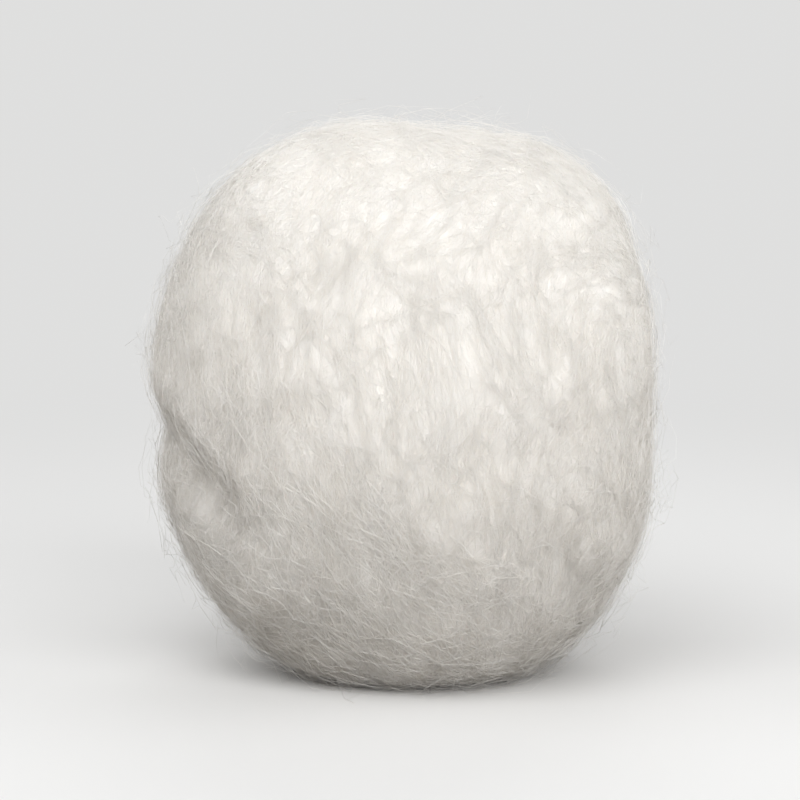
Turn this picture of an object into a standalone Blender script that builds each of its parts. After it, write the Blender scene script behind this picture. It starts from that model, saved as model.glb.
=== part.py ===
"""Cotton ball: a length of carded cotton, rolled and rubbed into a soft ball that its pack has pressed a little out of round.

Metres, +Z up. The front faces -Y, and the origin is the middle of the small flat spot that the ball rests on.
A direction on the ball is an (azimuth, elevation) pair in degrees, seen from its centre: azimuth 0 is the front,
azimuth 90 is +X and elevation 90 is the top.
"""

import math

import bmesh
import bpy
from mathutils import Vector, noise

# Overall sizes
BALL_WIDTH = 0.035
BALL_DEPTH = 0.034
BALL_HEIGHT = 0.039

# How full its shoulders are: 2 is an egg, and more is squarer
SHOULDER_FULLNESS = 2.20
FOOT_FULLNESS = 2.12

# The flat spot underneath, and how far around its middle the surface has no lumps
REST_RADIUS = 0.0072
SMOOTH_RADIUS = 0.0085

# Broad flats where other balls lay against it: the direction of each one's middle, and how deep it is pressed in
PRESSES = [
    ((98, -4), 0.0004),
    ((20, 76), 0.0006),
    ((168, -4), 0.0005),
]
PRESS_BLEND = 0.0060

# Creases where one turn of the cotton laps over the next: two ends, how many degrees it bows to its left on the way,
# its depth, its half width, and the rise of the turn that lies over it
CREASES = [
    ((-100, 0), (-40, -25), 9, 0.0018, 0.00120, 0.00050),
    ((-94, 36), (-80, -12), -9, 0.0009, 0.00140, 0.00030),
    ((-44, 50), (30, 40), 8, 0.0004, 0.00160, 0.00020),
    ((22, -16), (78, -34), -9, 0.0006, 0.00150, 0.00030),
    ((66, 44), (96, -14), 10, 0.0009, 0.00140, 0.00035),
    ((128, 36), (-158, -6), -14, 0.0013, 0.00130, 0.00045),
    ((118, -24), (178, -40), 9, 0.0009, 0.00140, 0.00035),
    ((-118, 46), (-146, -2), -9, 0.0009, 0.00140, 0.00035),
    ((-150, 64), (64, 66), 6, 0.0006, 0.00150, 0.00025),
]
CREASE_FADE = 0.45

# The dimples at the two ends of the roll: direction, depth and radius
DIMPLES = [
    ((-96, 1), 0.0013, 0.0032),
    ((90, -8), 0.0010, 0.0038),
]

# Lumps of the loose cotton: broad ones and small ones, by height and by spacing
LUMP_HEIGHT = 0.00050
LUMP_SPACING = 0.0130
TUFT_HEIGHT = 0.00018
TUFT_SPACING = 0.0045

# The cage has this many squares along each edge of its cube, each split once more by the Subdivision Surface
CAGE_SQUARES = 14
SUBDIVISION = 1

COTTON_COLOR = (0.90, 0.885, 0.86, 1.0)
COTTON_ROUGHNESS = 1.0


def direction(angles):
    """The unit vector that an (azimuth, elevation) pair names."""
    azimuth, elevation = (math.radians(angle) for angle in angles)
    return Vector(
        (
            math.cos(elevation) * math.sin(azimuth),
            -math.cos(elevation) * math.cos(azimuth),
            math.sin(elevation),
        )
    )


def ease(t):
    """0 up to t = 0, 1 from t = 1, and smooth between them."""
    t = min(max(t, 0.0), 1.0)
    return t * t * (3.0 - 2.0 * t)


def soft_minimum(a, b, blend):
    """The smaller of two lengths, with the corner between them rounded over blend."""
    h = max(blend - abs(a - b), 0.0) / blend
    return min(a, b) - h * h * blend / 4.0


def half_sizes():
    """Half the ball's width, depth and height, as if it had no flat spot."""
    half_height = (BALL_HEIGHT + rest_depth()) / 2.0
    return Vector((BALL_WIDTH / 2.0, BALL_DEPTH / 2.0, half_height))


def rest_depth():
    """How much of the round form the flat spot takes away."""
    half_width = (BALL_WIDTH + BALL_DEPTH) / 4.0
    return BALL_HEIGHT / 2.0 * (1.0 - math.sqrt(1.0 - (REST_RADIUS / half_width) ** 2))


def round_radius(d):
    """Distance from the centre to the plain rounded form, in direction d: square shoulders over a round foot."""
    fullness = FOOT_FULLNESS + (SHOULDER_FULLNESS - FOOT_FULLNESS) * ease((d.z + 1.0) / 2.0)
    return sum(abs(x / half) ** fullness for x, half in zip(d, half_sizes())) ** (-1.0 / fullness)


def pressed_radius(d):
    """The same distance once each press has flattened its side."""
    radius = round_radius(d)
    for angles, depth in PRESSES:
        middle = direction(angles)
        facing = d.dot(middle)
        if facing > 0.2:
            reach = Vector(x * half for x, half in zip(middle, half_sizes())).length
            radius = soft_minimum(radius, (reach - depth) / facing, PRESS_BLEND)
    return radius


def crease_rise(d, radius, start, end, bow, depth, half_width, lap):
    """How far one crease moves the surface in direction d: down along its line, and up on its left side."""
    first, last = direction(start), direction(end)
    left = (first + last).cross(last - first).normalized()
    middle = (first + last).normalized() * math.cos(math.radians(bow)) + left * math.sin(math.radians(bow))
    axis = (middle - first).cross(last - first).normalized()
    if axis.dot(left) < 0.0:
        axis.negate()
    along = (last - first).normalized()
    half_length = (last - first).length / 2.0
    place = (d - (first + last) / 2.0).dot(along) / half_length
    fade = ease((1.0 - abs(place)) / CREASE_FADE)
    if fade == 0.0 or d.dot(middle) < 0.3:
        return 0.0
    aside = (math.asin(max(-1.0, min(1.0, d.dot(axis)))) - math.asin(first.dot(axis))) * radius
    groove = math.exp(-((aside / half_width) ** 2))
    ridge = math.exp(-(((aside - 2.2 * half_width) / (1.7 * half_width)) ** 2))
    return fade * (lap * ridge - depth * groove)


def dimple_rise(d, radius, middle, depth, dimple_radius):
    """How far one end of the roll is drawn in."""
    away = d.angle(direction(middle)) * radius
    return -depth * math.exp(-((away / dimple_radius) ** 2))


def lump_rise(d, radius):
    """Broad and small lumps of the loose cotton."""
    place = d * radius
    broad = noise.noise(place / LUMP_SPACING)
    small = noise.noise(place / TUFT_SPACING + Vector((7.3, 2.1, 4.9)))
    return LUMP_HEIGHT * broad + TUFT_HEIGHT * small


def surface_point(d):
    """The ball's surface in direction d, from its centre."""
    radius = pressed_radius(d)
    rise = lump_rise(d, radius)
    rise += sum(dimple_rise(d, radius, *dimple) for dimple in DIMPLES)
    rise += sum(crease_rise(d, radius, *crease) for crease in CREASES)
    from_rest = d.angle(Vector((0.0, 0.0, -1.0))) * radius
    return d * (radius + rise * ease(from_rest / SMOOTH_RADIUS))


def ball_cage():
    """A cube of even squares, blown up to the ball's form."""
    bm = bmesh.new()
    bmesh.ops.create_cube(bm, size=2.0)
    bmesh.ops.subdivide_edges(bm, edges=bm.edges[:], cuts=CAGE_SQUARES - 1, use_grid_fill=True)
    for vert in bm.verts:
        even = Vector(math.tan(x * math.pi / 4.0) for x in vert.co)
        vert.co = surface_point(even.normalized())
    mesh = bpy.data.meshes.new("cotton_ball")
    bm.to_mesh(mesh)
    bm.free()
    mesh.shade_smooth()
    return mesh


def extents(thing):
    """The lowest and highest corner of an object with its modifiers applied."""
    evaluated = thing.evaluated_get(bpy.context.evaluated_depsgraph_get())
    points = [v.co.copy() for v in evaluated.to_mesh().vertices]
    evaluated.to_mesh_clear()
    low = Vector(min(p[axis] for p in points) for axis in range(3))
    high = Vector(max(p[axis] for p in points) for axis in range(3))
    return low, high


def bring_to_size(ball):
    """Stretches the lumpy cage to the overall sizes, and presses its underside flat at z = 0."""
    low, high = extents(ball)
    stretch = Vector(2.0 * half / (h - l) for half, l, h in zip(half_sizes(), low, high))
    for vert in ball.data.vertices:
        x, y, z = vert.co
        raised = (z - high.z) * stretch.z + BALL_HEIGHT
        vert.co = (x * stretch.x, y * stretch.y, max(raised, 0.0))
    ball.data.update()


def cotton():
    """Matt, slightly warm white."""
    material = bpy.data.materials.new("cotton")
    material.use_nodes = True
    shader = material.node_tree.nodes["Principled BSDF"]
    shader.inputs["Base Color"].default_value = COTTON_COLOR
    shader.inputs["Roughness"].default_value = COTTON_ROUGHNESS
    shader.inputs["Metallic"].default_value = 0.0
    material.diffuse_color = COTTON_COLOR
    return material


def build_ball():
    mesh = ball_cage()
    ball = bpy.data.objects.new("cotton_ball", mesh)
    mesh.materials.append(cotton())
    collection = bpy.data.collections.new("Cotton ball")
    bpy.context.scene.collection.children.link(collection)
    collection.objects.link(ball)
    subdivision = ball.modifiers.new("Subdivision", "SUBSURF")
    subdivision.levels = SUBDIVISION
    subdivision.render_levels = SUBDIVISION
    bring_to_size(ball)
    return ball


for thing in list(bpy.data.objects):
    bpy.data.objects.remove(thing, do_unlink=True)

build_ball()
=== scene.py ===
"""Looks of the cotton ball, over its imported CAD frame: the body, the strands laid round it, and its fuzz.

Metres, +Z up. The front faces -Y, and the ball rests at z = 0.
"""

import math

import bmesh
import bpy
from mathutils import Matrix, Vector


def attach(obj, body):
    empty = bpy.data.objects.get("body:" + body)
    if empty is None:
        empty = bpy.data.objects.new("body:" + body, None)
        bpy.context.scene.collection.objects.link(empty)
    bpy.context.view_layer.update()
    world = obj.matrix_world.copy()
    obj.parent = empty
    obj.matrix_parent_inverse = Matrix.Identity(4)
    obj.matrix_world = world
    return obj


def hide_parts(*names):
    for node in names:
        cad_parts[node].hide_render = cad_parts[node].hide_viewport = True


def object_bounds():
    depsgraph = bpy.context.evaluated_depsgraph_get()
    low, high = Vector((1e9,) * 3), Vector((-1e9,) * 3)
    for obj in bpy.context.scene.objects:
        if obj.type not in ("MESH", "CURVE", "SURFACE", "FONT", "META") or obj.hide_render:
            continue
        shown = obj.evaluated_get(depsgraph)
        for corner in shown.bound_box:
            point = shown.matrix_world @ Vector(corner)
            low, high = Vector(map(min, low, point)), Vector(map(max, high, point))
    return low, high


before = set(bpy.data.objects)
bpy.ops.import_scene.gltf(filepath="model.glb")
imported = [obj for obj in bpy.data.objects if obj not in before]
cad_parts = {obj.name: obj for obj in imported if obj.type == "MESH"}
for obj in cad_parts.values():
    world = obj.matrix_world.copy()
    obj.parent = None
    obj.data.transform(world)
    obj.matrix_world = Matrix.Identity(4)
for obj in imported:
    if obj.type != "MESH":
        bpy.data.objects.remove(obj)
cad_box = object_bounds()

# The room: a pale paper floor that rises into a backdrop all round, with two big soft lamps in front, one
# higher than the other, and weaker ones at the sides and behind. The camera looks from straight in front
# and a little above, as the photograph does.
CAMERA_AZIMUTH = -2.0
CAMERA_ELEVATION = 7.5
CAMERA_LENS = 150.0
CAMERA_NEAR = 0.01
BALL_SHARE_OF_FRAME = 0.68
FLOOR_RADIUS = 0.70
FLOOR_SWEEP = 0.50
SWEEP_STEPS = 12
FLOOR_STEPS = 64
PAPER_COLOR = (0.78, 0.78, 0.775, 1.0)
PAPER_BOUNCE_COLOR = (0.27, 0.255, 0.235, 1.0)
BACKDROP_COLOR = (0.74, 0.74, 0.735, 1.0)
PAPER_NEAR = 0.04
PAPER_FAR = 0.15
HIGH_LAMP_POWER = 0.92
HIGH_LAMP_SIZE = 0.36
HIGH_LAMP_PLACE = (-25, 46, 0.44)
FRONT_LAMP_POWER = 2.20
FRONT_LAMP_SIZE = 0.50
FRONT_LAMP_PLACE = (22, 23, 0.60)
SIDE_POWER = 0.50
SIDE_SIZE = 0.40
LEFT_PLACE = (-92, 28, 0.50)
RIGHT_PLACE = (88, 28, 0.50)
BACK_POWER = 1.0
BACK_SIZE = 0.45
BACK_PLACE = (172, 30, 0.55)
ROOM_STRENGTH = 0.36
LIGHT_BOUNCES = 8
SAME_POINT = 1e-6

low, high = cad_box
ball_middle = (low + high) / 2.0
ball_height = high.z - low.z


def from_middle(azimuth, elevation, distance):
    """A point seen from the ball's middle: azimuth 0 is in front, 90 is +X."""
    a, e = math.radians(azimuth), math.radians(elevation)
    way = Vector((math.cos(e) * math.sin(a), -math.cos(e) * math.cos(a), math.sin(e)))
    return ball_middle + distance * way


def aimed(name, data, place):
    """An object at a place, facing the ball's middle."""
    thing = bpy.data.objects.new(name, data)
    thing.location = place
    thing.rotation_euler = (ball_middle - place).to_track_quat("-Z", "Y").to_euler()
    bpy.context.scene.collection.objects.link(thing)
    return thing


def soft_lamp(name, size, power, place):
    lamp = bpy.data.lights.new(name, "AREA")
    lamp.shape = "DISK"
    lamp.size = size
    lamp.energy = power
    return aimed(name, lamp, place)


camera = bpy.data.cameras.new("camera")
camera.lens = CAMERA_LENS
camera.clip_start = CAMERA_NEAR
camera_distance = ball_height / BALL_SHARE_OF_FRAME * CAMERA_LENS / camera.sensor_width
camera_place = from_middle(CAMERA_AZIMUTH, CAMERA_ELEVATION, camera_distance)
bpy.context.scene.camera = aimed("camera", camera, camera_place)

soft_lamp("high_lamp", HIGH_LAMP_SIZE, HIGH_LAMP_POWER, from_middle(*HIGH_LAMP_PLACE))
soft_lamp("front_lamp", FRONT_LAMP_SIZE, FRONT_LAMP_POWER, from_middle(*FRONT_LAMP_PLACE))
soft_lamp("left_lamp", SIDE_SIZE, SIDE_POWER, from_middle(*LEFT_PLACE))
soft_lamp("right_lamp", SIDE_SIZE, SIDE_POWER, from_middle(*RIGHT_PLACE))
soft_lamp("back_lamp", BACK_SIZE, BACK_POWER, from_middle(*BACK_PLACE))

room = bpy.data.worlds.new("room")
room.use_nodes = True
room.node_tree.nodes["Background"].inputs["Color"].default_value = (1.0, 1.0, 1.0, 1.0)
room.node_tree.nodes["Background"].inputs["Strength"].default_value = ROOM_STRENGTH
bpy.context.scene.world = room
bpy.context.scene.view_settings.view_transform = "Standard"
bpy.context.scene.cycles.diffuse_bounces = LIGHT_BOUNCES

sweep = bmesh.new()
rim = [sweep.verts.new((0.0, 0.0, 0.0)), sweep.verts.new((FLOOR_RADIUS, 0.0, 0.0))]
for step in range(1, SWEEP_STEPS + 1):
    turn = math.radians(90.0 * step / SWEEP_STEPS)
    out, up = FLOOR_RADIUS + FLOOR_SWEEP * math.sin(turn), FLOOR_SWEEP * (1.0 - math.cos(turn))
    rim.append(sweep.verts.new((out, 0.0, up)))
edges = [sweep.edges.new(pair) for pair in zip(rim, rim[1:])]
upright = {"cent": (0.0, 0.0, 0.0), "axis": (0.0, 0.0, 1.0)}
bmesh.ops.spin(sweep, geom=rim + edges, angle=math.tau, steps=FLOOR_STEPS, use_merge=True, **upright)
bmesh.ops.remove_doubles(sweep, verts=sweep.verts[:], dist=SAME_POINT)
bmesh.ops.recalc_face_normals(sweep, faces=sweep.faces[:])
floor_mesh = bpy.data.meshes.new("floor")
sweep.to_mesh(floor_mesh)
sweep.free()
floor_mesh.shade_smooth()


def backdrop_paper():
    """Lit paper round the ball, which takes its shadow and fades into one plain pale tone further out."""
    paper = bpy.data.materials.new("backdrop_paper")
    paper.use_nodes = True
    nodes, link = paper.node_tree.nodes, paper.node_tree.links.new
    rays = nodes.new("ShaderNodeLightPath")
    seen = nodes.new("ShaderNodeMath")
    seen.operation = "MAXIMUM"
    link(rays.outputs["Is Camera Ray"], seen.inputs[0])
    link(rays.outputs["Is Glossy Ray"], seen.inputs[1])
    tone = nodes.new("ShaderNodeMix")
    tone.data_type = "RGBA"
    tone.clamp_factor = True
    factor, bounced, direct = [socket for socket in tone.inputs if socket.enabled]
    bounced.default_value = PAPER_BOUNCE_COLOR
    direct.default_value = PAPER_COLOR
    link(seen.outputs[0], factor)
    lit = nodes["Principled BSDF"]
    link(next(socket for socket in tone.outputs if socket.enabled), lit.inputs["Base Color"])
    lit.inputs["Roughness"].default_value = 1.0
    lit.inputs["Specular IOR Level"].default_value = 0.0
    plain = nodes.new("ShaderNodeEmission")
    plain.inputs["Color"].default_value = BACKDROP_COLOR
    place = nodes.new("ShaderNodeTexCoord")
    away = nodes.new("ShaderNodeVectorMath")
    away.operation = "LENGTH"
    link(place.outputs["Object"], away.inputs[0])
    far = nodes.new("ShaderNodeMapRange")
    far.interpolation_type = "SMOOTHSTEP"
    far.inputs["From Min"].default_value = PAPER_NEAR
    far.inputs["From Max"].default_value = PAPER_FAR
    link(away.outputs["Value"], far.inputs["Value"])
    share = nodes.new("ShaderNodeMath")
    share.operation = "MULTIPLY"
    link(seen.outputs[0], share.inputs[0])
    link(far.outputs["Result"], share.inputs[1])
    mix = nodes.new("ShaderNodeMixShader")
    link(share.outputs[0], mix.inputs["Fac"])
    link(lit.outputs["BSDF"], mix.inputs[1])
    link(plain.outputs["Emission"], mix.inputs[2])
    link(mix.outputs["Shader"], nodes["Material Output"].inputs["Surface"])
    paper.cycles.emission_sampling = "NONE"
    return paper


floor_mesh.materials.append(backdrop_paper())
floor = bpy.data.objects.new("floor", floor_mesh)
bpy.context.scene.collection.objects.link(floor)

# The body: a length of carded cotton, rolled up and rubbed round. It is loose wadding all through, so its
# skin is soft and matt, and runs in fine ridges round the axis that the cotton was rolled about.
BODY_GRID = 0.00029
BODY_SMOOTHING = 4
SMOOTHING_SHARE = 0.5
NO_LIMIT = -1.0
ROLL_AZIMUTH = -94.0
ROLL_ELEVATION = 2.0
SWIRL = 0.9
SWIRL_SIZE = 0.014
RIDGE_SWIRL = 0.35
TUFT_HEIGHT = 0.00014
TUFT_SPACING = 0.0030
RIDGE_HEIGHT = 0.00009
RIDGE_SPACING = 0.0007
RIDGE_LENGTH = 0.0050
WADDING_WHITE = (0.95, 0.935, 0.91, 1.0)
WADDING_CREAM = (0.925, 0.895, 0.85, 1.0)
WADDING_DEPTH = 0.0012
WADDING_DEPTH_SHARES = (1.0, 0.95, 0.9)
WADDING_GLOSS = 0.1
WADDING_SHEEN = 0.2
WADDING_SHEEN_ROUGHNESS = 0.6
WADDING_ROUGHNESS = (0.86, 1.0)
TINT_RANGE = (-0.7, 0.9)
PATCH_SIZE = 0.005
PATCH_SHARE = 0.7
THREAD_SHARE = 0.5
THREAD_WIDTH = 0.4
THREAD_RANGE = (-0.6, 0.6)
THREAD_RELIEF = 0.00007
THREAD_RELIEF_STRENGTH = 0.6

roll_axis = (from_middle(ROLL_AZIMUTH, ROLL_ELEVATION, 1.0) - ball_middle).normalized()


def feed(tree, socket, value):
    """Links an output to a socket, or sets the socket to a plain value. None leaves it."""
    if isinstance(value, bpy.types.NodeSocket):
        tree.links.new(value, socket)
    elif value is not None:
        socket.default_value = tuple(value) if isinstance(value, Vector) else value


def add(tree, kind, *values, **settings):
    """A new node's first output. values go to its shown inputs in order."""
    node = tree.nodes.new(kind)
    for key, value in settings.items():
        setattr(node, key, value)
    for socket, value in zip([s for s in node.inputs if s.enabled], values):
        feed(tree, socket, value)
    return next(s for s in node.outputs if s.enabled)


def number(tree, operation, *values):
    return add(tree, "ShaderNodeMath", *values, operation=operation)


def vector(tree, operation, *values):
    """Any sum of vectors. DOT_PRODUCT and LENGTH give a number, and SCALE takes one as its second value."""
    return add(tree, "ShaderNodeVectorMath", *values, operation=operation)


def bumps(tree, place, spacing=1.0, detail=2.0, part="Fac"):
    """Smooth random numbers from about -1 to 1 that change over the spacing. Color is a vector of three."""
    noise = tree.nodes.new("ShaderNodeTexNoise")
    noise.normalize = False
    noise.inputs["Detail"].default_value = detail
    feed(tree, noise.inputs["Vector"], place)
    scale = 1.0 / spacing if isinstance(spacing, float) else number(tree, "DIVIDE", 1.0, spacing)
    feed(tree, noise.inputs["Scale"], scale)
    return noise.outputs[part]


def ranged(tree, value, least, most, to_least, to_most):
    """The value moved from one range to another, and kept inside it."""
    return add(tree, "ShaderNodeMapRange", value, least, most, to_least, to_most)


def bumped(tree, height, distance, strength):
    """The way a surface faces once it is raised by that height, times the distance."""
    bump = tree.nodes.new("ShaderNodeBump")
    bump.inputs["Distance"].default_value = distance
    bump.inputs["Strength"].default_value = strength
    feed(tree, bump.inputs["Height"], height)
    return bump.outputs["Normal"]


def wadding():
    """Soft white cotton, creamier in patches. Light goes a little way in, and threads run along its grain."""
    material = bpy.data.materials.new("wadding")
    material.use_nodes = True
    tree = material.node_tree
    shader = tree.nodes["Principled BSDF"]
    shader.inputs["Specular IOR Level"].default_value = WADDING_GLOSS
    shader.subsurface_method = "BURLEY"
    shader.inputs["Subsurface Weight"].default_value = 1.0
    shader.inputs["Subsurface Radius"].default_value = WADDING_DEPTH_SHARES
    shader.inputs["Subsurface Scale"].default_value = WADDING_DEPTH
    shader.inputs["Sheen Weight"].default_value = WADDING_SHEEN
    shader.inputs["Sheen Roughness"].default_value = WADDING_SHEEN_ROUGHNESS
    place = tree.nodes.new("ShaderNodeTexCoord").outputs["Object"]
    grain = tree.nodes.new("ShaderNodeAttribute")
    grain.attribute_name = "grain"
    threads = bumps(tree, grain.outputs["Vector"], THREAD_WIDTH, 1.0)
    patches = number(tree, "MULTIPLY", bumps(tree, place, PATCH_SIZE, 1.0), PATCH_SHARE)
    tint = number(tree, "ADD", patches, number(tree, "MULTIPLY", threads, THREAD_SHARE))
    cream = ranged(tree, tint, *TINT_RANGE, 0.0, 1.0)
    color = add(tree, "ShaderNodeMix", cream, WADDING_WHITE, WADDING_CREAM, data_type="RGBA")
    feed(tree, shader.inputs["Base Color"], color)
    feed(tree, shader.inputs["Roughness"], ranged(tree, threads, *THREAD_RANGE, *WADDING_ROUGHNESS))
    feed(tree, shader.inputs["Normal"], bumped(tree, threads, THREAD_RELIEF, THREAD_RELIEF_STRENGTH))
    return material


def new_tree(name, sizes):
    """A Geometry Nodes tree that takes the body and named sizes, and gives cotton. Also its inputs."""
    tree = bpy.data.node_groups.new(name, "GeometryNodeTree")
    tree.interface.new_socket("Body", in_out="INPUT", socket_type="NodeSocketGeometry")
    for size, kind in sizes.items():
        tree.interface.new_socket(size, in_out="INPUT", socket_type="NodeSocket" + kind)
    tree.interface.new_socket("Cotton", in_out="OUTPUT", socket_type="NodeSocketGeometry")
    return tree, tree.nodes.new("NodeGroupInput").outputs


def moved(tree, geometry, **to):
    """The geometry with its points at a new Position, or moved by an Offset."""
    node = tree.nodes.new("GeometryNodeSetPosition")
    feed(tree, node.inputs["Geometry"], geometry)
    for name, value in to.items():
        feed(tree, node.inputs[name], value)
    return node.outputs["Geometry"]


def with_attribute(tree, geometry, name, value, data_type, domain):
    """The geometry with a named attribute, for its material or its map."""
    settings = {"data_type": data_type, "domain": domain}
    return add(tree, "GeometryNodeStoreNamedAttribute", geometry, None, name, value, **settings)


def finished(tree, given, geometry):
    """Ends a tree: smooth, real faces in the material that it was given."""
    smooth = add(tree, "GeometryNodeSetShadeSmooth", geometry)
    painted = tree.nodes.new("GeometryNodeSetMaterial")
    feed(tree, painted.inputs["Geometry"], add(tree, "GeometryNodeRealizeInstances", smooth))
    feed(tree, painted.inputs["Material"], given["Material"])
    feed(tree, tree.nodes.new("NodeGroupOutput").inputs["Cotton"], painted.outputs["Geometry"])
    return tree


def wadding_tree():
    """Raises tufts, and fine ridges round the roll. The ridges' coordinates stay as the attribute grain."""
    sizes = ("Tuft height", "Tuft spacing", "Ridge height", "Ridge spacing", "Ridge length")
    tree, given = new_tree("Wadding", dict.fromkeys(sizes, "Float") | {"Material": "Material"})
    place = vector(tree, "SUBTRACT", add(tree, "GeometryNodeInputPosition"), ball_middle)
    swirl = bumps(tree, place, SWIRL_SIZE, part="Color")
    bent = vector(tree, "ADD", place, vector(tree, "SCALE", swirl, RIDGE_SWIRL * SWIRL_SIZE))
    side = roll_axis.orthogonal().normalized()
    across = number(tree, "DIVIDE", vector(tree, "DOT_PRODUCT", bent, roll_axis), given["Ridge spacing"])
    around = [vector(tree, "DOT_PRODUCT", bent, way) for way in (side, roll_axis.cross(side))]
    around = [number(tree, "DIVIDE", way, given["Ridge length"]) for way in around]
    grain = add(tree, "ShaderNodeCombineXYZ", across, *around)
    ridges = number(tree, "MULTIPLY", bumps(tree, grain, detail=3.0), given["Ridge height"])
    tufts = number(tree, "MULTIPLY", bumps(tree, bent, given["Tuft spacing"]), given["Tuft height"])
    outward = add(tree, "GeometryNodeInputNormal")
    rise = vector(tree, "SCALE", outward, number(tree, "ADD", ridges, tufts))
    raised = moved(tree, given["Body"], Offset=rise)
    floor_level = Vector((NO_LIMIT, NO_LIMIT, 0.0))
    above = vector(tree, "MAXIMUM", add(tree, "GeometryNodeInputPosition"), floor_level)
    rested = moved(tree, raised, Position=above)
    return finished(tree, given, with_attribute(tree, rested, "grain", grain, "FLOAT_VECTOR", "POINT"))


def grown(thing, tree, values, name):
    """What a tree makes of a thing, as a new plain object."""
    growth = thing.modifiers.new(tree.name, "NODES")
    growth.node_group = tree
    for item in tree.interface.items_tree:
        if item.in_out == "INPUT" and item.name in values:
            growth[item.identifier] = values[item.name]
    mesh = bpy.data.meshes.new_from_object(thing.evaluated_get(bpy.context.evaluated_depsgraph_get()))
    thing.modifiers.remove(growth)
    mesh.name = name
    made = bpy.data.objects.new(name, mesh)
    bpy.context.scene.collection.objects.link(made)
    return made


def even_form():
    """The CAD ball's form, in even small squares."""
    form = bmesh.new()
    form.from_mesh(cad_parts["cotton_ball"].data)
    bmesh.ops.remove_doubles(form, verts=form.verts[:], dist=SAME_POINT)
    mesh = bpy.data.meshes.new("form")
    form.to_mesh(mesh)
    form.free()
    thing = bpy.data.objects.new("form", mesh)
    bpy.context.scene.collection.objects.link(thing)
    even = thing.modifiers.new("Even squares", "REMESH")
    even.mode = "VOXEL"
    even.voxel_size = BODY_GRID
    soft = thing.modifiers.new("Soft", "SMOOTH")
    soft.factor = SMOOTHING_SHARE
    soft.iterations = BODY_SMOOTHING
    return thing


wadding_sizes = {
    "Tuft height": TUFT_HEIGHT,
    "Tuft spacing": TUFT_SPACING,
    "Ridge height": RIDGE_HEIGHT,
    "Ridge spacing": RIDGE_SPACING,
    "Ridge length": RIDGE_LENGTH,
    "Material": wadding(),
}
form = even_form()
body = grown(form, wadding_tree(), wadding_sizes, "body")
bpy.data.objects.remove(form)
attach(body, "root")
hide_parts("cotton_ball")
body_area = sum(face.area for face in body.data.polygons)

# The inner strands: carded fibres that lie side by side round the roll, matted down by rubbing. Each is a
# fine white thread that follows the lay of the cotton, waves with its neighbours and tapers to its tips.
STRAND_WHITE = (0.965, 0.955, 0.935, 1.0)
STRAND_CREAM = (0.94, 0.915, 0.875, 1.0)
STRAND_GLOSS = 0.2
STRAND_ROUGHNESS = (0.82, 0.96)
TWIST_SIZE = 0.0003
TWIST_RANGE = (-0.5, 0.5)
TWIST_RELIEF = 0.00002
TWIST_STRENGTH = 0.5
LENGTH_RANGE = (0.5, 1.4)
LOOP_SHARE = 0.3
LOOSE_END_CURVE = 1.6
LOOSENESS_CURVE = 1.5
FREE_CURL = 0.9
THREAD_SIDES = 3
THREAD_TAPER = 0.75
THREAD_BED = 0.3
STRAND_SIZES = {
    "Density": "Float",
    "Length": "Float",
    "Thickness": "Float",
    "Points": "Int",
    "Lift": "Float",
    "Rise": "Float",
    "Stray": "Float",
    "Wave": "Float",
    "Wave size": "Float",
    "Curl": "Float",
    "Curl size": "Float",
    "Seed": "Int",
    "Map rows": "Int",
    "Material": "Material",
}
MAP_COLUMNS = 24
MAP_CELL = 0.9
MAP_MARGIN = 0.05
SPARE_MAP_ROWS = 1.05


def chance(tree, seed, offset, least=0.0, most=1.0):
    """A random number of its own for each strand."""
    return add(tree, "FunctionNodeRandomValue", least, most, None, number(tree, "ADD", seed, offset))


def captured(tree, geometry, domain, **facts):
    """Notes facts on the geometry: name=(kind, value). Gives the geometry first, and then each fact."""
    node = tree.nodes.new("GeometryNodeCaptureAttribute")
    node.domain = domain
    for name, (kind, value) in facts.items():
        node.capture_items.new(kind, name)
        feed(tree, node.inputs[name], value)
    feed(tree, node.inputs["Geometry"], geometry)
    return [node.outputs["Geometry"]] + [node.outputs[name] for name in facts]


def turned(tree, arrow, axis, angle):
    node = tree.nodes.new("ShaderNodeVectorRotate")
    feed(tree, node.inputs["Vector"], arrow)
    feed(tree, node.inputs["Axis"], axis)
    feed(tree, node.inputs["Angle"], angle)
    return node.outputs["Vector"]


def strand_roots(tree, given):
    """Points all over the body, each with its place, the way its strand runs, and chances of its own."""
    roots = tree.nodes.new("GeometryNodeDistributePointsOnFaces")
    for name, value in {"Mesh": "Body", "Density": "Density", "Seed": "Seed"}.items():
        feed(tree, roots.inputs[name], given[value])
    outward, seed = roots.outputs["Normal"], given["Seed"]
    place = vector(tree, "SUBTRACT", add(tree, "GeometryNodeInputPosition"), ball_middle)
    swirl = vector(tree, "SCALE", bumps(tree, place, SWIRL_SIZE, part="Color"), SWIRL)
    lay = vector(tree, "CROSS_PRODUCT", vector(tree, "ADD", swirl, roll_axis), outward)
    stray = number(tree, "MULTIPLY", chance(tree, seed, 1, -1.0), given["Stray"])
    own_place = add(tree, "ShaderNodeCombineXYZ", *(chance(tree, seed, n, -1.0) for n in (2, 3, 4)))
    return captured(
        tree,
        roots.outputs["Points"],
        "POINT",
        root=("VECTOR", place),
        way=("VECTOR", turned(tree, vector(tree, "NORMALIZE", lay), outward, stray)),
        own_place=("VECTOR", own_place),
        own_length=("FLOAT", chance(tree, seed, 5, *LENGTH_RANGE)),
        own_layer=("FLOAT", chance(tree, seed, 6)),
        own_ends=("FLOAT", chance(tree, seed, 7)),
        shade=("FLOAT", chance(tree, seed, 8)),
    )


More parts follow.
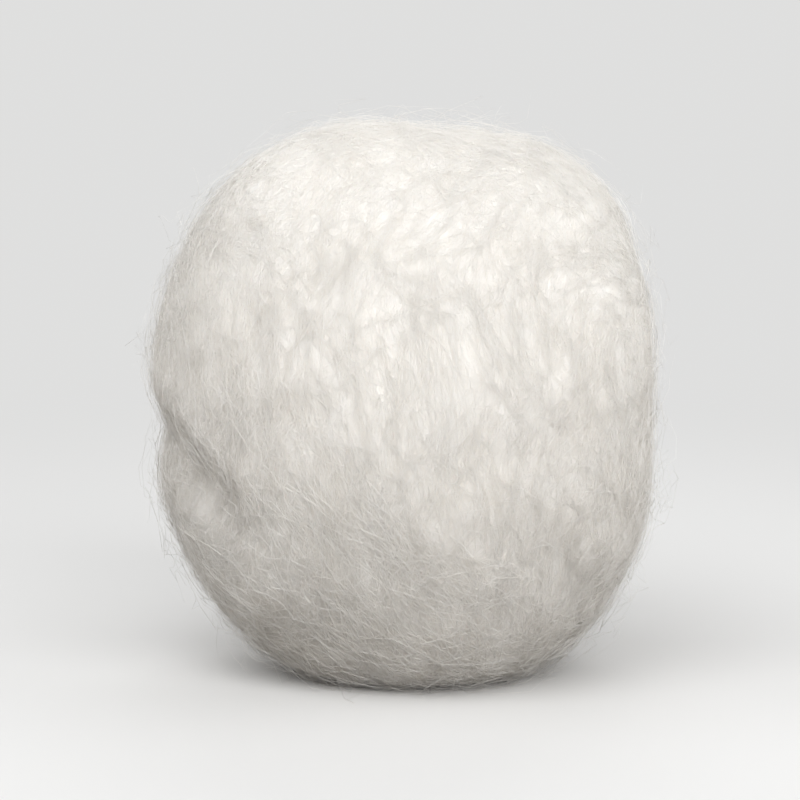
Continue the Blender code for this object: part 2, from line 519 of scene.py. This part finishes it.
def strand_lines(tree, given, points):
    """One loose line of points for each root."""
    line = tree.nodes.new("GeometryNodeResampleCurve")
    feed(tree, line.inputs["Curve"], add(tree, "GeometryNodeCurvePrimitiveLine"))
    feed(tree, line.inputs["Count"], given["Points"])
    copies = tree.nodes.new("GeometryNodeInstanceOnPoints")
    feed(tree, copies.inputs["Points"], points)
    feed(tree, copies.inputs["Instance"], line.outputs["Curve"])
    return add(tree, "GeometryNodeRealizeInstances", copies.outputs["Instances"])


def on_body(tree, given, place):
    """The body's nearest point to a place, and the way outward there."""
    skin = tree.nodes.new("GeometryNodeProximity")
    feed(tree, skin.inputs[0], given["Body"])
    feed(tree, skin.inputs["Sample Position"], place)
    outward = tree.nodes.new("GeometryNodeSampleNearestSurface")
    outward.data_type = "FLOAT_VECTOR"
    feed(tree, outward.inputs["Mesh"], given["Body"])
    feed(tree, outward.inputs["Value"], add(tree, "GeometryNodeInputNormal"))
    feed(tree, outward.inputs["Sample Position"], place)
    return skin.outputs["Position"], outward.outputs["Value"]


def threads_along(tree, given, lines, tip, shade):
    """Closed threads with fine tips along the lines, each with its shade and its own cell of the map."""
    which = add(tree, "GeometryNodeInputIndex")
    lines, which = captured(tree, lines, "CURVE", which=("INT", which))
    lines, along = captured(tree, lines, "POINT", along=("FLOAT", add(tree, "GeometryNodeSplineParameter")))
    circle = tree.nodes.new("GeometryNodeCurvePrimitiveCircle")
    circle.inputs["Resolution"].default_value = THREAD_SIDES
    feed(tree, circle.inputs["Radius"], number(tree, "MULTIPLY", given["Thickness"], 0.5))
    around = ("FLOAT", add(tree, "GeometryNodeSplineParameter"))
    section, around = captured(tree, circle.outputs["Curve"], "POINT", around=around)
    thickness = number(tree, "SUBTRACT", 1.0, number(tree, "MULTIPLY", tip, THREAD_TAPER))
    settings = {"Curve": lines, "Profile Curve": section, "Scale": thickness, "Fill Caps": True}
    thread = tree.nodes.new("GeometryNodeCurveToMesh")
    for name, value in settings.items():
        feed(tree, thread.inputs[name], value)
    column = number(tree, "MODULO", which, float(MAP_COLUMNS))
    row = number(tree, "FLOOR", number(tree, "DIVIDE", which, float(MAP_COLUMNS)))
    in_cell = [number(tree, "MULTIPLY_ADD", way, MAP_CELL, MAP_MARGIN) for way in (along, around)]
    across, down = number(tree, "ADD", column, in_cell[0]), number(tree, "ADD", row, in_cell[1])
    across = number(tree, "DIVIDE", across, float(MAP_COLUMNS))
    cell = add(tree, "ShaderNodeCombineXYZ", across, number(tree, "DIVIDE", down, given["Map rows"]))
    shaded = with_attribute(tree, thread.outputs["Mesh"], "shade", shade, "FLOAT", "POINT")
    return with_attribute(tree, shaded, "OFBake", cell, "FLOAT2", "CORNER")


def strand_tree():
    """Lays strands over the body. Lift is how deep their layers are, and Rise how far the loosest rise."""
    tree, given = new_tree("Strands", STRAND_SIZES)
    points, root, way, own_place, own_length, own_layer, own_ends, shade = strand_roots(tree, given)
    lines = strand_lines(tree, given, points)

    # Each strand is first an arc over the body, with its root at its middle
    along = add(tree, "GeometryNodeSplineParameter")
    from_root = number(tree, "SUBTRACT", along, 0.5)
    reach = number(tree, "MULTIPLY", from_root, number(tree, "MULTIPLY", given["Length"], own_length))
    angle = number(tree, "DIVIDE", reach, vector(tree, "LENGTH", root))
    arc = turned(tree, root, vector(tree, "CROSS_PRODUCT", root, way), angle)

    # Neighbours wave together, and each curls a little by itself
    wave = vector(tree, "SCALE", bumps(tree, arc, given["Wave size"], part="Color"), given["Wave"])
    own_curl = bumps(tree, vector(tree, "ADD", arc, own_place), given["Curl size"], part="Color")
    curl = vector(tree, "SCALE", own_curl, given["Curl"])
    waved = vector(tree, "ADD", vector(tree, "ADD", arc, wave), vector(tree, "ADD", curl, ball_middle))

    # It drops onto the body, in its own layer. Some stand off in a loop, and the others at one end
    skin, outward = on_body(tree, given, waved)
    tip = number(tree, "POWER", number(tree, "MULTIPLY", number(tree, "ABSOLUTE", from_root), 2.0), 2.0)
    looped = number(tree, "SUBTRACT", 1.0, tip)
    one_end = number(tree, "POWER", along, LOOSE_END_CURVE)
    is_loop = number(tree, "LESS_THAN", own_ends, LOOP_SHARE)
    to_loop = number(tree, "MULTIPLY", is_loop, number(tree, "SUBTRACT", looped, one_end))
    shape = number(tree, "ADD", one_end, to_loop)
    loosest = number(tree, "MULTIPLY", given["Rise"], number(tree, "POWER", own_layer, LOOSENESS_CURVE))
    rise = number(tree, "MULTIPLY", loosest, shape)
    layer = number(tree, "MULTIPLY", given["Lift"], own_layer)
    bed = number(tree, "MULTIPLY", given["Thickness"], THREAD_BED)
    height = number(tree, "ADD", number(tree, "ADD", layer, rise), bed)
    laid = vector(tree, "ADD", skin, vector(tree, "SCALE", outward, height))
    free_curl = vector(tree, "SCALE", own_curl, number(tree, "MULTIPLY", rise, FREE_CURL))
    lowest = add(tree, "ShaderNodeCombineXYZ", NO_LIMIT, NO_LIMIT, given["Thickness"])
    loose = vector(tree, "ADD", laid, free_curl)
    placed = moved(tree, lines, Position=vector(tree, "MAXIMUM", loose, lowest))
    return finished(tree, given, threads_along(tree, given, placed, tip, shade))


def cotton_thread():
    """Cotton fibre: matt white or a little creamier, each in its own shade, with a fine uneven twist."""
    material = bpy.data.materials.new("cotton_thread")
    material.use_nodes = True
    tree = material.node_tree
    shader = tree.nodes["Principled BSDF"]
    shader.inputs["Specular IOR Level"].default_value = STRAND_GLOSS
    shade = tree.nodes.new("ShaderNodeAttribute")
    shade.attribute_name = "shade"
    color = add(tree, "ShaderNodeMix", shade.outputs["Fac"], STRAND_WHITE, STRAND_CREAM, data_type="RGBA")
    feed(tree, shader.inputs["Base Color"], color)
    place = tree.nodes.new("ShaderNodeTexCoord").outputs["Object"]
    twist = bumps(tree, place, TWIST_SIZE, 1.0)
    feed(tree, shader.inputs["Roughness"], ranged(tree, twist, *TWIST_RANGE, *STRAND_ROUGHNESS))
    feed(tree, shader.inputs["Normal"], bumped(tree, twist, TWIST_RELIEF, TWIST_STRENGTH))
    return material


strands = strand_tree()
thread = cotton_thread()


def lay_strands(name, count, values):
    """Lays about that many strands on the body, as one piece."""
    rows = math.ceil(SPARE_MAP_ROWS * count / MAP_COLUMNS)
    values = values | {"Density": count / body_area, "Map rows": rows, "Material": thread}
    piece = grown(body, strands, values, name)
    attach(piece, "root")


INNER_STRANDS = {
    "Length": 0.0140,
    "Thickness": 0.000055,
    "Points": 8,
    "Lift": 0.00010,
    "Rise": 0.0,
    "Stray": 0.35,
    "Wave": 0.0010,
    "Wave size": 0.0070,
    "Curl": 0.0008,
    "Curl size": 0.0040,
    "Seed": 11,
}
INNER_COUNT = 2800
lay_strands("inner_strands", INNER_COUNT, INNER_STRANDS)

# The outer strands: finer fibres of the last turn of the cotton. They run the same way round the roll but
# stray further from it, curl more, and lie a little looser over the inner ones.
OUTER_STRANDS = {
    "Length": 0.0105,
    "Thickness": 0.000040,
    "Points": 8,
    "Lift": 0.00025,
    "Rise": 0.0002,
    "Stray": 0.7,
    "Wave": 0.0010,
    "Wave size": 0.0050,
    "Curl": 0.0014,
    "Curl size": 0.0034,
    "Seed": 23,
}
OUTER_COUNT = 4300
lay_strands("outer_strands", OUTER_COUNT, OUTER_STRANDS)

# The cross strands: finer fibres still, which rubbing has turned every way. They lie over the others and
# tie them together, and some stand a little off the ball.
CROSS_STRANDS = {
    "Length": 0.0085,
    "Thickness": 0.000030,
    "Points": 8,
    "Lift": 0.00045,
    "Rise": 0.0005,
    "Stray": 3.14,
    "Wave": 0.0010,
    "Wave size": 0.0050,
    "Curl": 0.0014,
    "Curl size": 0.0034,
    "Seed": 37,
}
CROSS_COUNT = 4300
lay_strands("cross_strands", CROSS_COUNT, CROSS_STRANDS)

# The down: short fine ends that rubbing has raised all over the ball. Each is held in the web at one end
# or both, and together they give the ball its soft edge.
DOWN = {
    "Length": 0.0034,
    "Thickness": 0.000018,
    "Points": 5,
    "Lift": 0.00020,
    "Rise": 0.0011,
    "Stray": 3.14,
    "Wave": 0.0003,
    "Wave size": 0.0020,
    "Curl": 0.0010,
    "Curl size": 0.0016,
    "Seed": 41,
}
DOWN_COUNT = 7000
lay_strands("down", DOWN_COUNT, DOWN)

# The fly-away fibres: single long fibres that have worked loose from the web. They stand off the ball in
# loops and loose ends, thinly and all over.
FLYAWAYS = {
    "Length": 0.0070,
    "Thickness": 0.000018,
    "Points": 9,
    "Lift": 0.00030,
    "Rise": 0.0022,
    "Stray": 3.14,
    "Wave": 0.0008,
    "Wave size": 0.0030,
    "Curl": 0.0020,
    "Curl size": 0.0026,
    "Seed": 53,
}
FLYAWAY_COUNT = 1700
lay_strands("flyaways", FLYAWAY_COUNT, FLYAWAYS)
